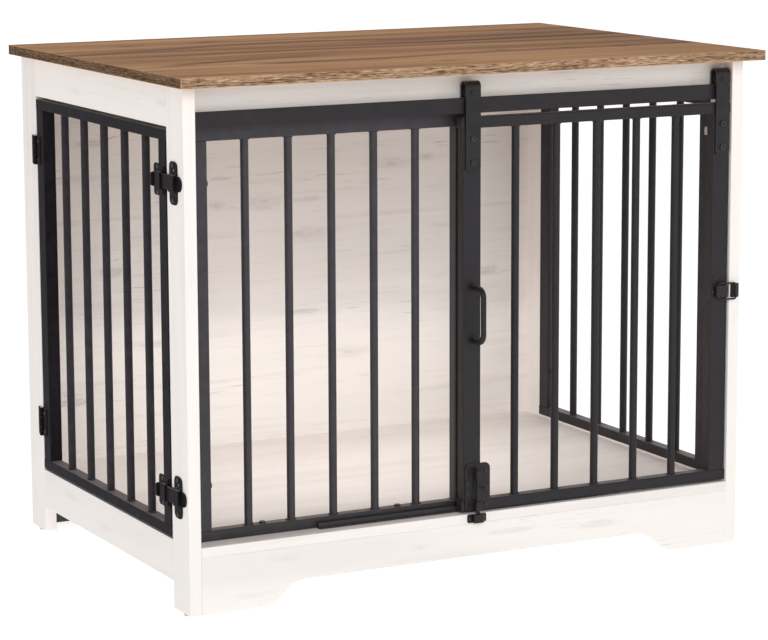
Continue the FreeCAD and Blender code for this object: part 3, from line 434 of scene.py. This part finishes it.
# painted shade: the side door frame and its fittings get a darker copy of the powder coat than the side door bars,
# to offset the light their flat side faces catch, with a stronger painted highlight on upward faces
COAT_SIDE_SHADED = powder_coat("charcoal_side_coat_painted_shade", 0.60, (0.50, 0.62), 0.05, 0.85)
COAT_BARS = powder_coat("charcoal_side_bars", 1.25, (0.44, 0.56), 0.18)
COAT_HW = powder_coat("charcoal_hardware", 0.55, (0.38, 0.50), 0.36)
COAT_SCREW = powder_coat("black_screws", 0.62, (0.28, 0.40), 0.6)
DARKER = ("track_bar", "sliding_door_frame", "sliding_door_bars", "right_grille_frame", "right_grille_bars",
          "track_spacers")
SIDE = ("side_door_frame", "side_hinge_post_leaves", "side_hinge_door_leaves",
        "side_latch_plates", "side_latch_bolt_upper", "side_latch_bolt_lower", "side_latch_keepers")
ZINC = zinc("zinc_plate")
NYLON = nylon("black_nylon", srgb(30, 30, 32), srgb(40, 40, 42))
NYLON_GREY = nylon("charcoal_nylon", srgb(46, 43, 47), srgb(56, 53, 57))
GLIDE = nylon("glide_nylon", srgb(176, 174, 168), srgb(196, 194, 188))

HARDWARE = ("door_handle", "foot_bolt_plate", "foot_bolt_rod", "foot_bolt_keeper", "front_latch_plate",
            "front_latch_loop", "front_latch_keeper", "hanger_straps", "roller_axles")
ZINCED = ("slab_brackets", "slab_bracket_screws", "track_screws", "handle_screws", "side_hinge_pins",
          "right_grille_clip")
for name, ob in NODES.items():
    if name in MATS:
        m = MATS[name]
    elif name in HARDWARE:
        m = COAT_HW
    elif name in ZINCED:
        m = ZINC
    elif name in DARKER:
        m = COAT_DARK
    elif name in SIDE:
        m = COAT_SIDE_SHADED
    elif name == "side_door_bars":
        m = COAT_BARS
    elif name == "bottom_guide":
        m = NYLON_GREY
    elif name in ("hanger_roller_left", "hanger_roller_right") or name.endswith("_caps"):
        m = NYLON
    elif name == "leg_glides":
        m = GLIDE
    elif "screw" in name or "bolts" in name:
        m = COAT_SCREW
    else:
        m = COAT
    if ob.material_slots:
        for s in ob.material_slots:
            s.material = m
    else:
        ob.data.materials.append(m)


# ----------------------------------------------------------------- weld tacks
def tack(bm, centre, rx, ry, rz, seed):
    """A small irregular lump of weld, half sunk in the steel."""
    made = bmesh.ops.create_icosphere(bm, subdivisions=2, radius=1.0)["verts"]
    for v in made:
        n = mnoise.noise(v.co * 1.7 + Vector((seed, seed * 0.37, 0.0)))
        k = 1.0 + 0.22 * n
        v.co = Vector((v.co.x * rx * k, v.co.y * ry * k, v.co.z * rz * k)) + centre
    return made


def weld_piece(name, body, bars_node, axis):
    """Tacks on both sides of every bar, top and bottom."""
    ob = NODES[bars_node]
    me = ob.data
    # islands of the mesh give the bars
    seen, adj = set(), {}
    for e in me.edges:
        a, b = e.vertices
        adj.setdefault(a, []).append(b)
        adj.setdefault(b, []).append(a)
    boxes = []
    for v in range(len(me.vertices)):
        if v in seen:
            continue
        stack, isl = [v], []
        seen.add(v)
        while stack:
            q = stack.pop()
            isl.append(q)
            for w in adj.get(q, ()):
                if w not in seen:
                    seen.add(w)
                    stack.append(w)
        cs = [me.vertices[i].co for i in isl]
        boxes.append((Vector([min(c[k] for c in cs) for k in range(3)]), Vector([max(c[k] for c in cs) for k in range(3)])))
    spots = {}
    for lo, hi in boxes:
        c = (lo + hi) / 2
        spots.setdefault((round(c.x, 3), round(c.y, 3)), []).append((lo, hi))
    bm = bmesh.new()
    s = 1.0
    for _, bx in sorted(spots.items()):
        lo = Vector([min(b[0][k] for b in bx) for k in range(3)])
        hi = Vector([max(b[1][k] for b in bx) for k in range(3)])
        c = (lo + hi) / 2
        for z, up in ((lo.z, 1), (hi.z, -1)):
            for side in (-1, 1):
                s += 1.37
                off = side * (0.0060 + 0.0002)
                p = Vector((c.x + (off if axis == "x" else 0), c.y + (off if axis == "y" else 0), z + up * 0.0004))
                r = 0.0019 + 0.0005 * random.random()
                if axis == "x":
                    tack(bm, p, r, 0.0031, 0.0017, s)
                else:
                    tack(bm, p, 0.0031, r, 0.0017, s)
    data = bpy.data.meshes.new(name)
    bm.to_mesh(data)
    bm.free()
    for p in data.polygons:
        p.use_smooth = True
    o = bpy.data.objects.new(name, data)
    bpy.context.scene.collection.objects.link(o)
    o.data.materials.append(COAT)
    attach(o, body)
    return o


weld_piece("weld_tacks_fixed_panel", "carcass", "fixed_panel_bars", "x")
weld_piece("weld_tacks_right_grille", "carcass", "right_grille_bars", "y")
weld_piece("weld_tacks_sliding_door", "sliding_door", "sliding_door_bars", "x")
weld_piece("weld_tacks_side_door", "side_door", "side_door_bars", "y")


# ------------------------------------------------------------------------ stage
def floor_material():
    t = Tree("studio_floor")
    n = t.noise(t.obj, 3.0, 2.0, 0.5)
    col = t.ramp(n, [(0.3, (0.44, 0.44, 0.44)), (0.7, (0.47, 0.47, 0.47))])
    t.set(Base_Color=col, Roughness=0.85, Specular_IOR_Level=0.1)
    t.set(Emission_Color=(1.0, 0.995, 0.99), Emission_Strength=0.80)
    return t.mat


def make_floor():
    """A sweep: flat floor that curves up far behind into a wall."""
    bm = bmesh.new()
    prof = [(-14.0, 0.0), (9.0, 0.0)]
    r = 4.0
    for i in range(1, 17):
        a = math.radians(90 * i / 16)
        prof.append((9.0 + r * math.sin(a), r - r * math.cos(a)))
    prof.append((13.0, 16.0))
    rows = []
    for xx in (-22.0, 22.0):
        rows.append([bm.verts.new((xx, yy, zz)) for yy, zz in prof])
    for i in range(len(prof) - 1):
        bm.faces.new((rows[0][i], rows[1][i], rows[1][i + 1], rows[0][i + 1]))
    me = bpy.data.meshes.new("studio_sweep")
    bm.to_mesh(me)
    bm.free()
    for p in me.polygons:
        p.use_smooth = True
    o = bpy.data.objects.new("studio_sweep", me)
    o.rotation_euler = (0, 0, math.radians(-27.4))
    bpy.context.scene.collection.objects.link(o)
    me.materials.append(floor_material())


make_floor()

world = bpy.data.worlds.new("studio_world")
bpy.context.scene.world = world
world.use_nodes = True
wnt = world.node_tree
bg = wnt.nodes.get("Background") or wnt.nodes.new("ShaderNodeBackground")
wtc = wnt.nodes.new("ShaderNodeTexCoord")
wsep = wnt.nodes.new("ShaderNodeSeparateXYZ")
wnt.links.new(wtc.outputs["Generated"], wsep.inputs[0])
wramp = wnt.nodes.new("ShaderNodeMapRange")
wramp.interpolation_type = "SMOOTHSTEP"
wnt.links.new(wsep.outputs[2], wramp.inputs["Value"])
wramp.inputs["From Min"].default_value = 0.15
wramp.inputs["From Max"].default_value = 0.95
wramp.inputs["To Min"].default_value = 0.46
wramp.inputs["To Max"].default_value = 0.26
wnt.links.new(wramp.outputs[0], bg.inputs["Strength"])
bg.inputs["Color"].default_value = (1.0, 1.0, 1.0, 1)


def area(name, loc, target, size, power, color=(1, 1, 1), unseen=False, gloss=True):
    d = bpy.data.lights.new(name, "AREA")
    d.shape = "RECTANGLE"
    d.size, d.size_y = size
    d.energy = power
    d.color = color
    o = bpy.data.objects.new(name, d)
    o.location = loc
    o.rotation_mode = "QUATERNION"
    o.rotation_quaternion = (Vector(target) - Vector(loc)).to_track_quat("-Z", "Y")
    bpy.context.scene.collection.objects.link(o)
    if unseen:
        o.visible_camera = False
        o.visible_glossy = False
    o.visible_glossy = gloss and not unseen


area("key_softbox", (-0.9, -4.0, 2.3), (0, 0, 0.35), (2.6, 1.8), 66.0, (1.0, 0.985, 0.965))
area("side_softbox", (-4.2, -1.2, 1.2), (0, 0, 0.4), (2.2, 1.8), 24.0, (1.0, 0.985, 0.965), gloss=False)
area("right_strip", (4.0, -2.6, 1.2), (0.2, -0.3, 0.4), (0.6, 1.8), 16.0)
area("top_softbox", (0.2, 0.4, 3.4), (0, 0, 0.7), (2.6, 2.2), 10.0)
area("inside_fill", (-0.05, 0.06, 0.370), (-0.05, 0.07, 0.0), (0.80, 0.24), 0.74, (1.0, 0.985, 0.965), True)
area("inside_low_fill", (-0.11, -0.20, 0.260), (-0.11, 0.32, 0.150), (0.66, 0.08), 0.30, (1.0, 0.985, 0.965), True)

# ----------------------------------------------------------------------- camera
yaw, pitch, roll = math.radians(27.363), math.radians(9.888), math.radians(-0.208)
fwd = Vector((math.sin(yaw) * math.cos(pitch), math.cos(yaw) * math.cos(pitch), -math.sin(pitch)))
right = Vector((math.cos(yaw), -math.sin(yaw), 0.0))
up = right.cross(fwd)
r2 = right * math.cos(roll) + up * math.sin(roll)
u2 = up * math.cos(roll) - right * math.sin(roll)
cd = bpy.data.cameras.new("camera")
cd.sensor_fit = "HORIZONTAL"
cd.sensor_width = 36.0
cd.lens = 136.69
cd.clip_start, cd.clip_end = 0.05, 200.0
cam = bpy.data.objects.new("camera", cd)
cam.matrix_world = Matrix((
    (r2.x, u2.x, -fwd.x, -2.0876),
    (r2.y, u2.y, -fwd.y, -4.0419),
    (r2.z, u2.z, -fwd.z, 1.1449),
    (0, 0, 0, 1)))
bpy.context.scene.collection.objects.link(cam)
bpy.context.scene.camera = cam

vs = bpy.context.scene.view_settings
vs.view_transform = "Standard"
vs.look = "None"
vs.exposure = 0.0
vs.gamma = 1.0
